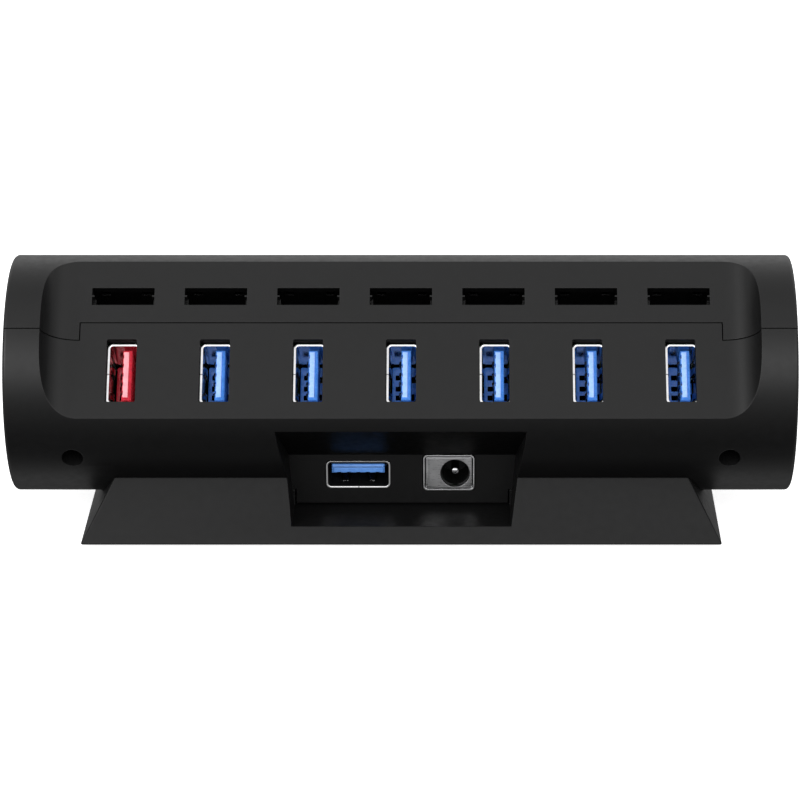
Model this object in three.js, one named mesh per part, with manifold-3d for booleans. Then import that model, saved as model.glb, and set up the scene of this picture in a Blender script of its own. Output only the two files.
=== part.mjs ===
// A barrel-shaped USB hub on a trapezoid foot: two casing halves, seven upright type-A ports,
// seven card sockets, and a bay below with the upstream port and the DC inlet.
// Millimetres, +Z up, X along the barrel, -Y towards the user, origin on the desk under the barrel.
import * as THREE from "three";
import { mergeVertices } from "three/addons/utils/BufferGeometryUtils.js";
import Module from "manifold-3d";

const wasm = await Module();
wasm.setup();

// ---- Driving dimensions ----
const BARREL_R = 24.5;
const BARREL_HALF = 80.5;
const BARREL_EDGE = 0.9; // rounding of the barrel's end rims
const TILT = THREE.MathUtils.degToRad(42.2); // how far the port face looks upwards
const WALL = 2;
const SEAM = 0.3; // gap along the parting line, and between neighbouring pieces
const SPLIT_RISE = 1.05; // the parting plane passes this far above the axis
const SPLIT_LEAN = 4.15; // and falls towards the port face, in degrees
const OVER = 1; // how far a cutting tool runs past the face it cuts
const FAR = 100; // beyond every part of the hub
const ROUND_SEGMENTS = 64;
const SCREW_SEGMENTS = 12;
const HOLE_SEGMENTS = 24;

// The port face: a flat scoop that runs into a quarter-round cove at each end.
const FACE = 17.2; // distance of the flat face from the barrel's axis
const COVE_R = BARREL_R - FACE;
const COVE_X = 65.7; // where the flat ends and the cove starts
const TAB_X = 65.6; // the lower shell's tab in the face
const TAB_TOP = 3.6;

const PORT_COUNT = 7;
const PORT_PITCH = 19;
const PORT_U = -6.8; // height of the ports in the face, from the parting line
const PORT_HOLE = { w: 6.1, h: 13.6 };
const SHELL_A = { w: 5.7, h: 13.1, t: 0.3, corner: 0.6 }; // type-A shell, upright
const PORT_FRONT = 15.4;
const CORE_FRONT = 14.75;
const CORE_BASE_TOP = 6.4;
const TONGUE = { w: 1.84, h: 11, offset: 1 };
const CORE_GAP = 0.12;
const CORE_CORNER = 0.4;

const SLOT = { w: 12.6, h: 3.6, u: 9.7, rib: 0.5, ribInset: 0.3 };
const SOCKET = { w: 14, bottom: 7.9, h: 2.9, back: 0.4, front: 14.9, t: 0.3 };
const SLIDER = { w: 12.8, h: 2, back: 3.2, front: 5.2, noseW: 1.4, noseFront: 10.2 };

// Boards
const MAIN_BOARD = { half: 62, bottom: -15.2, top: 14, back: -1.6, front: 0 };
const CARD_BOARD = { half: 63.9, bottom: 6.6, top: 7.6, back: 0.3, front: 14.6 };
const INLET_BOARD = { half: 19.6, bottom: -23.2, top: -22.5, back: 9.8, front: -8.3 };

// Foot, heights from the barrel's axis
const FOOT_TOP = -12; // inside the barrel, which cuts the foot's cradle
const FOOT_BOTTOM = -28.77;
const FOOT_HALF_X = 65.8;
const FOOT_HALF_Y = 25.13;
const FOOT_LEAN_X = 0.558; // mm inwards for each mm of height
const FOOT_LEAN_Y = 0.578;
const FOOT_WALL = 2.2;
const POCKET = { start: 25.5, pitch: 11.5, count: 3, rib: 1.6, spine: 8 }; // hollows between the ribs
const RUBBER = { r: 4.5, thick: 1.4, proud: 0.6, rim: 1.6, x: 55, y: 18.5 };
const AXIS_HEIGHT = RUBBER.proud - FOOT_BOTTOM;

// Connector bay, level with the desk: y towards the back, z from the barrel's axis
const BAY_FLOOR = -25.4;
const BAY_FRONT = { y: -26, top: -3, halfTop: 25.9, halfBottom: 22.6 };
const PANEL = { y: -10.6, top: -14.4, halfTop: 23.5, halfBottom: 22.5, play: 0.3 };
const BULGE = { half: 22, back: 12, bottom: BAY_FLOOR + SEAM, floor: 1.5, reach: -10, spaceReach: -6 };
const UPSTREAM = { x: -9.1, z: -18.7, w: 13.1, h: 5.7, corner: 0.8, front: 10.9, back: -3.5 };
const UPSTREAM_BASE_TOP = 2;
const UPSTREAM_TONGUE_FRONT = 10.1;
const JACK = { x: 9.7, z: -18.3, w: 10.6, h: 7.7, corner: 0.8, front: 10.9, back: -1.5, t: 0.4 };
const JACK_HOLE = { x: 11, z: -18.5, r: 3, boreR: 2.85, boreBack: 1.5 };
const JACK_PIN = { r: 1, front: 9.5, back: -0.6, nose: 0.5 };

// Fasteners
const SHELL_SCREW = {
  x: 67,
  depths: [8.9, -12], // in front of and behind the axis
  ledge: -8, // where the head sits in its hole
  headR: 2,
  headHeight: 1.7,
  shankR: 0.95,
  length: 17,
  holeR: 2.2,
  bossR: 3.7,
  clearanceR: 1.4,
  upperBossR: 2.7,
  pilotR: 1.2,
  pilotTop: 12,
};
const FOOT_SCREW = {
  xs: [-54, -32, 32, 54],
  ledge: -26.6,
  top: -17.5,
  headR: 2.5,
  headHeight: 1.5,
  shankR: 1.05,
  clearanceR: 1.6,
  pilotR: 1.3,
  bossR: 3,
  bossTop: -16,
};
const BOARD_SCREW = {
  x: 47.5,
  u: -8,
  headR: 2,
  headHeight: 1.4,
  shankR: 0.8,
  length: 10,
  clearanceR: 1.2,
  pilotR: 1.1,
  pilotDepth: -12,
  postR: 2.6,
};
const HEAD_GAP = 0.1; // under a screw's head

// Components on the boards: opposite corners, in the frame of the board they sit on
const CARD_PARTS_TOP = CARD_BOARD.bottom - SEAM;
const INLET_PARTS_FLOOR = INLET_BOARD.top + SEAM;
const HUB_CHIP = [[-4.5, 1.9, -4.5], [4.5, 2.9, 4.5]];
const CARD_HEADER = [[-12, -0.3, 4], [12, -2.8, CARD_PARTS_TOP]];
const READER_CHIP = [[16, -4, 5.3], [23, -11, CARD_PARTS_TOP]];
const INDUCTOR = [[7, 4.4, INLET_PARTS_FLOOR], [13, 9.4, INLET_PARTS_FLOOR + 3]];
const CAPACITOR = { r: 2.6, x: 1.5, y: 6.6, height: 6.5 };
const RIBBON_RUN = { left: -14, right: -4, y: 7, thick: 0.5, bend: -16.5, clipBottom: -14, clipTop: -9 };

// ---- Materials ----
function material(color, roughness, metalness = 0) {
  return new THREE.MeshStandardMaterial({ color, roughness, metalness });
}
const BLACK = material(0x1d1d1f, 0.55);
const BLACK_FOOT = material(0x212123, 0.6);
const RUBBER_BLACK = material(0x141414, 0.9);
const STEEL = material(0xc9cbd0, 0.25, 1);
const SCREW_STEEL = material(0x3a3a3d, 0.4, 1);
const BLUE = material(0x2a62b5, 0.45);
const RED = material(0xc81f30, 0.45);
const BOARD_GREEN = material(0x14532b, 0.5);
const CHIP_BLACK = material(0x18181a, 0.5);
const SOCKET_STEEL = material(0x77797e, 0.35, 1);
const JACK_PLASTIC = material(0x0c0c0d, 0.5);
const RIBBON = material(0xd8d4c8, 0.5);

// ---- Solids ----
// A closed geometry as a manifold solid, turned face-out if its winding is reversed.
function solid(geometry) {
  const bare = geometry.index ? geometry.toNonIndexed() : geometry.clone();
  bare.deleteAttribute("normal");
  bare.deleteAttribute("uv");
  const merged = mergeVertices(bare, 1e-4);
  const corners = merged.index.array;
  const kept = [];
  for (let i = 0; i < corners.length; i += 3) {
    const [a, b, c] = [corners[i], corners[i + 1], corners[i + 2]];
    if (a !== b && b !== c && c !== a) kept.push(a, b, c);
  }
  const vertProperties = merged.attributes.position.array;
  const made = (triVerts) => new wasm.Manifold(new wasm.Mesh({ numProp: 3, vertProperties, triVerts }));
  const body = made(new Uint32Array(kept));
  return body.volume() < 0 ? made(new Uint32Array(kept.reverse())) : body;
}

function union(...solids) {
  return solids.reduce((all, next) => all.add(next));
}

function cut(body, ...tools) {
  return tools.reduce((left, tool) => left.subtract(tool), body);
}

function addMesh(parent, name, body, look) {
  const { vertProperties, triVerts } = body.getMesh();
  const geometry = new THREE.BufferGeometry();
  geometry.setAttribute("position", new THREE.BufferAttribute(vertProperties, 3));
  geometry.setIndex(new THREE.BufferAttribute(triVerts, 1));
  const mesh = new THREE.Mesh(geometry.toNonIndexed(), look);
  mesh.geometry.computeVertexNormals();
  mesh.name = name;
  parent.add(mesh);
  return mesh;
}

// A block between two corners, given in any order.
function block([x0, y0, z0], [x1, y1, z1]) {
  const box = new THREE.BoxGeometry(Math.abs(x1 - x0), Math.abs(y1 - y0), Math.abs(z1 - z0));
  return solid(box.translate((x0 + x1) / 2, (y0 + y1) / 2, (z0 + z1) / 2));
}

// A block with its corners placed by a function of their signs (sx, sy, sz).
function hexahedron(place) {
  const box = new THREE.BoxGeometry(2, 2, 2);
  const corner = new THREE.Vector3();
  const points = box.attributes.position;
  for (let i = 0; i < points.count; i++) {
    corner.fromBufferAttribute(points, i);
    points.setXYZ(i, ...place(corner.x, corner.y, corner.z));
  }
  return solid(box);
}

function extrude(shape, from, to, curveSegments = 4) {
  const options = { depth: to - from, bevelEnabled: false, curveSegments };
  return new THREE.ExtrudeGeometry(shape, options).translate(0, 0, from);
}

// An (x, z) outline pushed forwards (towards -Y) between two distances in front of the axis.
function forward(shape, from, to, curveSegments) {
  return solid(extrude(shape, from, to, curveSegments).rotateX(Math.PI / 2));
}

// A (y, z) outline pushed along X.
function sideways(shape, from, to, curveSegments) {
  const turn = new THREE.Matrix4().makeBasis(
    new THREE.Vector3(0, 1, 0),
    new THREE.Vector3(0, 0, 1),
    new THREE.Vector3(1, 0, 0),
  );
  return solid(extrude(shape, from, to, curveSegments).applyMatrix4(turn));
}

function rectangle(w, h, x = 0, y = 0) {
  return roundedRectangle(w, h, 0, x, y);
}

function roundedRectangle(w, h, r, x = 0, y = 0) {
  const shape = new THREE.Shape();
  const [left, right, bottom, top] = [x - w / 2, x + w / 2, y - h / 2, y + h / 2];
  if (r === 0) {
    shape.moveTo(left, bottom).lineTo(right, bottom).lineTo(right, top).lineTo(left, top);
    return shape;
  }
  shape.absarc(right - r, bottom + r, r, -Math.PI / 2, 0);
  shape.absarc(right - r, top - r, r, 0, Math.PI / 2);
  shape.absarc(left + r, top - r, r, Math.PI / 2, Math.PI);
  shape.absarc(left + r, bottom + r, r, Math.PI, 1.5 * Math.PI);
  return shape;
}

// A round bar standing up in Z.
function post(r, x, y, bottom, top, segments = 20) {
  const bar = new THREE.CylinderGeometry(r, r, top - bottom, segments).rotateX(Math.PI / 2);
  return solid(bar.translate(x, y, (bottom + top) / 2));
}

// A round bar pointing forwards, between two distances in front of the axis.
function peg(r, x, z, from, to, segments = 20) {
  const bar = new THREE.CylinderGeometry(r, r, to - from, segments);
  return solid(bar.translate(x, -(from + to) / 2, z));
}

// A round bar of the barrel's own direction with rounded rims.
function drum(r, half, edge = 0) {
  const profile = new THREE.Path().moveTo(0, -half);
  if (edge > 0) {
    profile.lineTo(r - edge, -half);
    profile.absarc(r - edge, -half + edge, edge, -Math.PI / 2, 0);
    profile.absarc(r - edge, half - edge, edge, 0, Math.PI / 2);
  } else {
    profile.lineTo(r, -half).lineTo(r, half);
  }
  profile.lineTo(0, half);
  const lathe = new THREE.LatheGeometry(profile.getPoints(3), ROUND_SEGMENTS);
  return solid(lathe.rotateZ(-Math.PI / 2));
}

// A screw along +Z with its head below: pan head with a chamfer, then shank with a point.
function screw({ headR, headHeight, shankR, length }) {
  const chamfer = 0.4;
  const point = 0.6;
  const points = [
    [0, 0],
    [headR - chamfer, 0],
    [headR, chamfer],
    [headR, headHeight],
    [shankR, headHeight],
    [shankR, length - point],
    [shankR - chamfer, length],
    [0, length],
  ].map(([r, z]) => new THREE.Vector2(r, z));
  return solid(new THREE.LatheGeometry(points, SCREW_SEGMENTS).rotateX(Math.PI / 2));
}

// A solid that is level with the desk, turned into the tilted frame of the barrel.
function levelled(body) {
  return body.rotate([THREE.MathUtils.radToDeg(TILT), 0, 0]);
}

function each(count, make) {
  return Array.from({ length: count }, (_, i) => make(i));
}

const portX = (i) => (i - (PORT_COUNT - 1) / 2) * PORT_PITCH;

// ---- Groups: the level frame at barrel height, and the tilted barrel in it ----
const hub = new THREE.Group();
const level = new THREE.Group();
level.position.z = AXIS_HEIGHT;
hub.add(level);
const barrel = new THREE.Group(); // here -Y looks out of the port face and +Z is up the face
barrel.rotation.x = -TILT;
level.add(barrel);

// ---- Casing ----
// The space the scoop takes out of the barrel; grow moves its faces into the barrel.
function scoop(grow) {
  const outside = BARREL_R + 6;
  const r = COVE_R + grow;
  const shape = new THREE.Shape();
  shape.moveTo(-COVE_X - r, -outside);
  shape.lineTo(-COVE_X - r, -BARREL_R);
  shape.absarc(-COVE_X, -BARREL_R, r, Math.PI, Math.PI / 2, true);
  shape.absarc(COVE_X, -BARREL_R, r, Math.PI / 2, 0, true);
  shape.lineTo(COVE_X + r, -outside);
  return solid(extrude(shape, -outside, outside, 6));
}

// The bay in front of the inlet panel; grow moves its walls outwards.
function bay(grow) {
  const slope = (BAY_FRONT.top - PANEL.top) / (PANEL.y - BAY_FRONT.y);
  const rise = grow * Math.hypot(1, slope);
  const back = PANEL.y + grow;
  const backTop = PANEL.top - grow * slope;
  return hexahedron((sx, sy, sz) => {
    const end = sy > 0 ? PANEL : BAY_FRONT;
    const half = (sz > 0 ? end.halfTop : end.halfBottom) + grow;
    const top = (sy > 0 ? backTop : BAY_FRONT.top) + rise;
    return [sx * half, sy > 0 ? back : BAY_FRONT.y, sz > 0 ? top : BAY_FLOOR];
  });
}

const outerBarrel = cut(drum(BARREL_R, BARREL_HALF, BARREL_EDGE), scoop(0));
const innerSpace = cut(drum(BARREL_R - WALL, BARREL_HALF - WALL), scoop(WALL));
const TAB_ROOT = -1; // the tab starts below the parting plane

// The half space above or below the parting plane, a gap's half away from it.
function besideSplit(side) {
  const zone = block([-FAR, -FAR, (side * SEAM) / 2], [FAR, FAR, side * FAR]);
  return zone.rotate([SPLIT_LEAN, 0, 0]).translate([0, 0, SPLIT_RISE]);
}

function upperShell() {
  const tabX = TAB_X + SEAM;
  const tab = block([-tabX, -FAR, TAB_ROOT], [tabX, WALL - FACE + SEAM, TAB_TOP + SEAM]);
  const zone = cut(besideSplit(1), tab);
  let shell = outerBarrel.intersect(zone).subtract(innerSpace);
  for (const sx of [-1, 1]) {
    for (const depth of SHELL_SCREW.depths) {
      const x = sx * SHELL_SCREW.x;
      const boss = post(SHELL_SCREW.upperBossR, x, -depth, SEAM / 2, BARREL_R, 16);
      shell = shell.add(boss.intersect(outerBarrel));
      const pilot = post(SHELL_SCREW.pilotR, x, -depth, -OVER, SHELL_SCREW.pilotTop, SCREW_SEGMENTS);
      shell = shell.subtract(pilot);
    }
  }
  for (let i = 0; i < PORT_COUNT; i++) {
    const slot = forward(rectangle(SLOT.w, SLOT.h, portX(i), SLOT.u), FACE - WALL - OVER, FACE + OVER);
    const ribs = [-1, 1].map((sx) => {
      const x = portX(i) + (sx * (SLOT.w - SLOT.rib)) / 2;
      return forward(rectangle(SLOT.rib, SLOT.rib, x, SLOT.u), FACE - WALL, FACE - SLOT.ribInset);
    });
    shell = shell.subtract(cut(slot, ...ribs));
  }
  return shell;
}

function lowerShell() {
  const tab = block([-TAB_X, -FAR, TAB_ROOT], [TAB_X, WALL - FACE, TAB_TOP]);
  const zone = union(besideSplit(-1), tab);
  const bulge = block([-BULGE.half, PANEL.y - OVER, BULGE.bottom], [BULGE.half, BULGE.back, BULGE.reach]);
  const bulgeSpace = block(
    [-BULGE.half + WALL, PANEL.y + WALL, BULGE.bottom + BULGE.floor],
    [BULGE.half - WALL, BULGE.back - WALL, BULGE.spaceReach],
  );
  const inside = cut(union(innerSpace, levelled(bulgeSpace)), levelled(bay(WALL)));
  let shell = cut(union(outerBarrel, levelled(bulge)).intersect(zone), inside);

  for (const sx of [-1, 1]) {
    const x = sx * SHELL_SCREW.x;
    for (const depth of SHELL_SCREW.depths) {
      const boss = post(SHELL_SCREW.bossR, x, -depth, -BARREL_R, -SEAM / 2);
      shell = shell.add(boss.intersect(outerBarrel));
      shell = shell.subtract(post(SHELL_SCREW.holeR, x, -depth, -FAR, SHELL_SCREW.ledge));
      shell = shell.subtract(post(SHELL_SCREW.clearanceR, x, -depth, -FAR, OVER, SCREW_SEGMENTS));
    }
    const { postR, pilotR, pilotDepth, u } = BOARD_SCREW;
    const boardPost = peg(postR, sx * BOARD_SCREW.x, u, -BARREL_R, MAIN_BOARD.back - SEAM);
    shell = shell.add(boardPost.intersect(outerBarrel));
    shell = shell.subtract(peg(pilotR, sx * BOARD_SCREW.x, u, pilotDepth, 0, SCREW_SEGMENTS));
  }
  for (const x of FOOT_SCREW.xs) {
    const boss = post(FOOT_SCREW.bossR, x, 0, -BARREL_R, FOOT_SCREW.bossTop);
    shell = shell.add(levelled(boss).intersect(outerBarrel));
    const pilot = post(FOOT_SCREW.pilotR, x, 0, -FAR, FOOT_SCREW.top + SEAM, SCREW_SEGMENTS);
    shell = shell.subtract(levelled(pilot));
  }
  shell = shell.subtract(levelled(bay(0)));
  for (let i = 0; i < PORT_COUNT; i++) {
    const hole = rectangle(PORT_HOLE.w, PORT_HOLE.h, portX(i), PORT_U);
    shell = shell.subtract(forward(hole, FACE - WALL - OVER, FACE + OVER));
  }
  for (const { x, z, w, h, corner } of [UPSTREAM, JACK]) {
    const hole = roundedRectangle(w + PANEL.play, h + PANEL.play, corner, x, z);
    shell = shell.subtract(levelled(forward(hole, -PANEL.y - WALL - OVER, -PANEL.y + OVER)));
  }
  return shell;
}

// The foot: a leaning block that cradles the barrel, ribbed from below.
function footBlock(inset, bottom) {
  return hexahedron((sx, sy, sz) => {
    const z = sz > 0 ? FOOT_TOP : bottom;
    const rise = z - FOOT_BOTTOM;
    const halfX = FOOT_HALF_X - FOOT_LEAN_X * rise - inset;
    const halfY = FOOT_HALF_Y - FOOT_LEAN_Y * rise - inset;
    return [sx * halfX, sy * halfY, z];
  });
}

function foot() {
  const outside = footBlock(0, FOOT_BOTTOM);
  const skirt = cut(footBlock(FOOT_WALL, FOOT_BOTTOM - OVER), drum(BARREL_R + SEAM + FOOT_WALL, FAR));
  let body = cut(outside, drum(BARREL_R + SEAM, FAR));
  for (const sx of [-1, 1]) {
    for (let i = 0; i < POCKET.count; i++) {
      const near = sx * (POCKET.start + i * POCKET.pitch);
      const away = near + sx * (POCKET.pitch - POCKET.rib);
      for (const sy of [-1, 1]) {
        const window = block([near, sy * POCKET.spine, -FAR], [away, sy * FAR, 0]);
        body = body.subtract(skirt.intersect(window));
      }
    }
  }
  for (const x of FOOT_SCREW.xs) {
    body = body.subtract(post(FOOT_SCREW.headR + SEAM, x, 0, -FAR, FOOT_SCREW.ledge));
    body = body.subtract(post(FOOT_SCREW.clearanceR, x, 0, -FAR, 0, SCREW_SEGMENTS));
  }
  const padTop = FOOT_BOTTOM + RUBBER.thick - RUBBER.proud + SEAM;
  for (const [x, y] of rubberPlaces()) {
    const seat = post(RUBBER.r + RUBBER.rim, x, y, FOOT_BOTTOM, padTop + RUBBER.rim, HOLE_SEGMENTS);
    body = body.add(seat.intersect(outside));
    body = body.subtract(post(RUBBER.r + SEAM, x, y, -FAR, padTop, HOLE_SEGMENTS));
  }
  const nestX = BULGE.half + SEAM;
  const nest = block([-nestX, PANEL.y - SEAM, BAY_FLOOR], [nestX, BULGE.back + SEAM, 0]);
  return cut(body, bay(0), nest);
}

function rubberPlaces() {
  return [-1, 1].flatMap((sy) => [-1, 1].map((sx) => [sx * RUBBER.x, sy * RUBBER.y]));
}

addMesh(barrel, "upper_shell", upperShell(), BLACK);
addMesh(barrel, "lower_shell", lowerShell(), BLACK);
addMesh(level, "foot", foot(), BLACK_FOOT);

rubberPlaces().forEach(([x, y], i) => {
  const pad = post(RUBBER.r, x, y, 0, RUBBER.thick, HOLE_SEGMENTS);
  addMesh(hub, `rubber_foot_${i + 1}`, pad, RUBBER_BLACK);
});

// ---- Fasteners ----
const shellScrew = screw(SHELL_SCREW);
SHELL_SCREW.depths.flatMap((depth) => [-1, 1].map((sx) => [sx, depth])).forEach(([sx, depth], i) => {
  const mesh = addMesh(barrel, `shell_screw_${i + 1}`, shellScrew, SCREW_STEEL);
  mesh.position.set(sx * SHELL_SCREW.x, -depth, SHELL_SCREW.ledge - SHELL_SCREW.headHeight - HEAD_GAP);
});

const footScrewLength = FOOT_SCREW.top - FOOT_SCREW.ledge + FOOT_SCREW.headHeight;
const footScrew = screw({ ...FOOT_SCREW, length: footScrewLength });
FOOT_SCREW.xs.forEach((x, i) => {
  const mesh = addMesh(level, `foot_screw_${i + 1}`, footScrew, SCREW_STEEL);
  mesh.position.set(x, 0, FOOT_SCREW.ledge - FOOT_SCREW.headHeight - HEAD_GAP);
});

const boardScrew = screw(BOARD_SCREW);
[-1, 1].forEach((sx, i) => {
  const mesh = addMesh(barrel, `board_screw_${i + 1}`, boardScrew, SCREW_STEEL);
  mesh.rotation.x = -Math.PI / 2; // shank pointing backwards, into the post
  mesh.position.set(sx * BOARD_SCREW.x, -BOARD_SCREW.headHeight - SEAM, BOARD_SCREW.u);
});

// ---- Boards and what is on them ----
function mainBoard() {
  const { half, bottom, top, back, front } = MAIN_BOARD;
  const board = block([-half, -back, bottom], [half, -front, top]);
  const { x, u, clearanceR } = BOARD_SCREW;
  const hole = (sx) => peg(clearanceR, sx * x, u, back - OVER, front + OVER, SCREW_SEGMENTS);
  return cut(board, hole(-1), hole(1));
}
addMesh(barrel, "main_board", mainBoard(), BOARD_GREEN);

const cardBoard = block(
  [-CARD_BOARD.half, -CARD_BOARD.back, CARD_BOARD.bottom],
  [CARD_BOARD.half, -CARD_BOARD.front, CARD_BOARD.top],
);
addMesh(barrel, "card_board", cardBoard, BOARD_GREEN);

const inletBoard = block(
  [-INLET_BOARD.half, INLET_BOARD.front, INLET_BOARD.bottom],
  [INLET_BOARD.half, INLET_BOARD.back, INLET_BOARD.top],
);
addMesh(level, "inlet_board", inletBoard, BOARD_GREEN);

addMesh(barrel, "card_header", block(...CARD_HEADER), CHIP_BLACK);
addMesh(barrel, "hub_chip", block(...HUB_CHIP), CHIP_BLACK);
addMesh(barrel, "reader_chip", block(...READER_CHIP), CHIP_BLACK);
addMesh(level, "power_inductor", block(...INDUCTOR), CHIP_BLACK);

function capacitor() {
  const { r, x, y, height } = CAPACITOR;
  return post(r, x, y, INLET_PARTS_FLOOR, INLET_PARTS_FLOOR + height);
}
addMesh(level, "power_capacitor", capacitor(), SOCKET_STEEL);

// The ribbon rises from the inlet board's back edge and lies against the main board's back.
function ribbon() {
  const { left, right, y, thick, bend, clipBottom, clipTop } = RIBBON_RUN;
  const inBarrel = (n, u) => [
    -n * Math.cos(TILT) + u * Math.sin(TILT),
    n * Math.sin(TILT) + u * Math.cos(TILT),
  ];
  const against = MAIN_BOARD.back - SEAM;
  const shape = new THREE.Shape();
  shape.moveTo(y, INLET_PARTS_FLOOR).lineTo(y + thick, INLET_PARTS_FLOOR).lineTo(y + thick, bend + thick);
  shape.lineTo(...inBarrel(against - thick, clipBottom + thick));
  shape.lineTo(...inBarrel(against - thick, clipTop)).lineTo(...inBarrel(against, clipTop));
  shape.lineTo(...inBarrel(against, clipBottom)).lineTo(y, bend);
  return sideways(shape, left, right);
}
addMesh(level, "link_ribbon", ribbon(), RIBBON);

// ---- Type-A receptacles ----
// A sheet metal tube with rounded corners, pointing forwards.
function receptacleShell({ w, h, t, corner }, from, to) {
  const outside = forward(roundedRectangle(w, h, corner), from, to, 1);
  const opening = roundedRectangle(w - 2 * t, h - 2 * t, corner - t);
  return outside.subtract(forward(opening, from - OVER, to + OVER, 1));
}

// The insulator: a base that fills the back of the shell, and the tongue.
function receptacleCore({ w, h, t }, from, baseTop, tongueFront) {
  const margin = 2 * (t + CORE_GAP);
  const base = forward(roundedRectangle(w - margin, h - margin, CORE_CORNER), from, baseTop, 1);
  const tongue = forward(rectangle(TONGUE.w, TONGUE.h, TONGUE.offset, 0), baseTop - OVER, tongueFront);
  return base.add(tongue);
}

const portShell = receptacleShell(SHELL_A, SEAM, PORT_FRONT);
const portCore = receptacleCore(SHELL_A, 2 * SEAM, CORE_BASE_TOP, CORE_FRONT);
each(PORT_COUNT, (i) => {
  const shell = addMesh(barrel, `usb_shell_${i + 1}`, portShell, STEEL);
  const core = addMesh(barrel, `usb_core_${i + 1}`, portCore, i === 0 ? RED : BLUE);
  shell.position.set(portX(i), 0, PORT_U);
  core.position.copy(shell.position);
});

const upstreamSpec = { ...SHELL_A, w: UPSTREAM.h, h: UPSTREAM.w };
const upstreamCore = receptacleCore(
  upstreamSpec,
  UPSTREAM.back + SEAM,
  UPSTREAM_BASE_TOP,
  UPSTREAM_TONGUE_FRONT,
);
const upstreamParts = {
  upstream_shell: [receptacleShell(upstreamSpec, UPSTREAM.back, UPSTREAM.front), STEEL],
  upstream_core: [upstreamCore, BLUE],
};
for (const [name, [body, look]] of Object.entries(upstreamParts)) {
  const mesh = addMesh(level, name, body, look);
  mesh.rotation.y = -Math.PI / 2; // the tongue, beside the middle in an upright port, comes on top
  mesh.position.set(UPSTREAM.x, 0, UPSTREAM.z);
}

// ---- DC inlet ----
// A pressed can, open at the back, with the plug's hole in its front.
function jackFrame() {
  const { x, z, w, h, t, corner, back, front } = JACK;
  const outside = forward(roundedRectangle(w, h, corner, x, z), back, front, 2);
  const hollow = roundedRectangle(w - 2 * t, h - 2 * t, corner - t, x, z);
  const inside = forward(hollow, back - OVER, front - t, 1);
  return cut(outside, inside, peg(JACK_HOLE.r, JACK_HOLE.x, JACK_HOLE.z, 0, FAR, HOLE_SEGMENTS));
}

function jackBody() {
  const { x, z, w, h, t, back, front } = JACK;
  const margin = 2 * (t + CORE_GAP);
  const body = forward(rectangle(w - margin, h - margin, x, z), back + SEAM, front - t - CORE_GAP);
  const bore = peg(JACK_HOLE.boreR, JACK_HOLE.x, JACK_HOLE.z, JACK_HOLE.boreBack, FAR, HOLE_SEGMENTS);
  const pinHole = peg(JACK_PIN.r + CORE_GAP, JACK_HOLE.x, JACK_HOLE.z, -FAR, FAR, SCREW_SEGMENTS);
  return cut(body, bore, pinHole);
}

function jackPin() {
  const { r, back, front, nose } = JACK_PIN;
  const points = [
    [0, back],
    [r, back],
    [r, front - nose],
    [r - nose, front],
    [0, front],
  ].map(([radius, y]) => new THREE.Vector2(radius, y));
  const pin = new THREE.LatheGeometry(points, SCREW_SEGMENTS).rotateX(Math.PI);
  return solid(pin.translate(JACK_HOLE.x, 0, JACK_HOLE.z));
}

addMesh(level, "dc_jack_frame", jackFrame(), STEEL);
addMesh(level, "dc_jack_body", jackBody(), JACK_PLASTIC);
addMesh(level, "dc_jack_pin", jackPin(), STEEL);

// ---- Card sockets and their eject sliders ----
const socketMiddle = SOCKET.bottom + SOCKET.h / 2;

function cardSocket() {
  const outside = forward(rectangle(SOCKET.w, SOCKET.h), SOCKET.back, SOCKET.front);
  const inside = rectangle(SOCKET.w - 2 * SOCKET.t, SOCKET.h - 2 * SOCKET.t);
  return outside.subtract(forward(inside, SOCKET.back + SOCKET.t, SOCKET.front + OVER));
}

// A bar across the card's path, with a hooked nose that the card's corner meets.
function cardSlider() {
  const { w, h, back, front, noseW, noseFront } = SLIDER;
  const bar = forward(rectangle(w, h), back, front);
  const nose = forward(rectangle(noseW, h, (w - noseW) / 2), back, noseFront);
  return bar.add(nose);
}

const socketBody = cardSocket();
const sliderBody = cardSlider();
each(PORT_COUNT, (i) => {
  const socket = addMesh(barrel, `card_socket_${i + 1}`, socketBody, SOCKET_STEEL);
  const slider = addMesh(barrel, `card_slider_${i + 1}`, sliderBody, CHIP_BLACK);
  socket.position.set(portX(i), 0, socketMiddle);
  slider.position.copy(socket.position);
});

export default hub;
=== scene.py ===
"""Barrel-shaped USB hub on a trapezoid foot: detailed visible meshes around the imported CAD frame."""
import math

import bmesh
import bpy
from mathutils import Matrix, Vector

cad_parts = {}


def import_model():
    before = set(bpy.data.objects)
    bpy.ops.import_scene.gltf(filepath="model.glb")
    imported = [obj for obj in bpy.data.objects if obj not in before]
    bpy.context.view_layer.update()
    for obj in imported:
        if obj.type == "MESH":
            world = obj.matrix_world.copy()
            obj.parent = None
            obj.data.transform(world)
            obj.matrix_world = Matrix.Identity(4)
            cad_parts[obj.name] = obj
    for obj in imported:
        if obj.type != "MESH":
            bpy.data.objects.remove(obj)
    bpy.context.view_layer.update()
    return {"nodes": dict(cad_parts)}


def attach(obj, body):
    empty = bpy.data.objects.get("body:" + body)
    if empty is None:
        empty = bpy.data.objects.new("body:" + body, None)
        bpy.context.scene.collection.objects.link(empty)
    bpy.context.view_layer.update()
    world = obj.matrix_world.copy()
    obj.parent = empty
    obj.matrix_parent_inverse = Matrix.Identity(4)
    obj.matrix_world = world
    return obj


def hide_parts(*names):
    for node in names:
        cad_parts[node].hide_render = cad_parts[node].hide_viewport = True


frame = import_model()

MM = 0.001
BODY = "housing"

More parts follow.
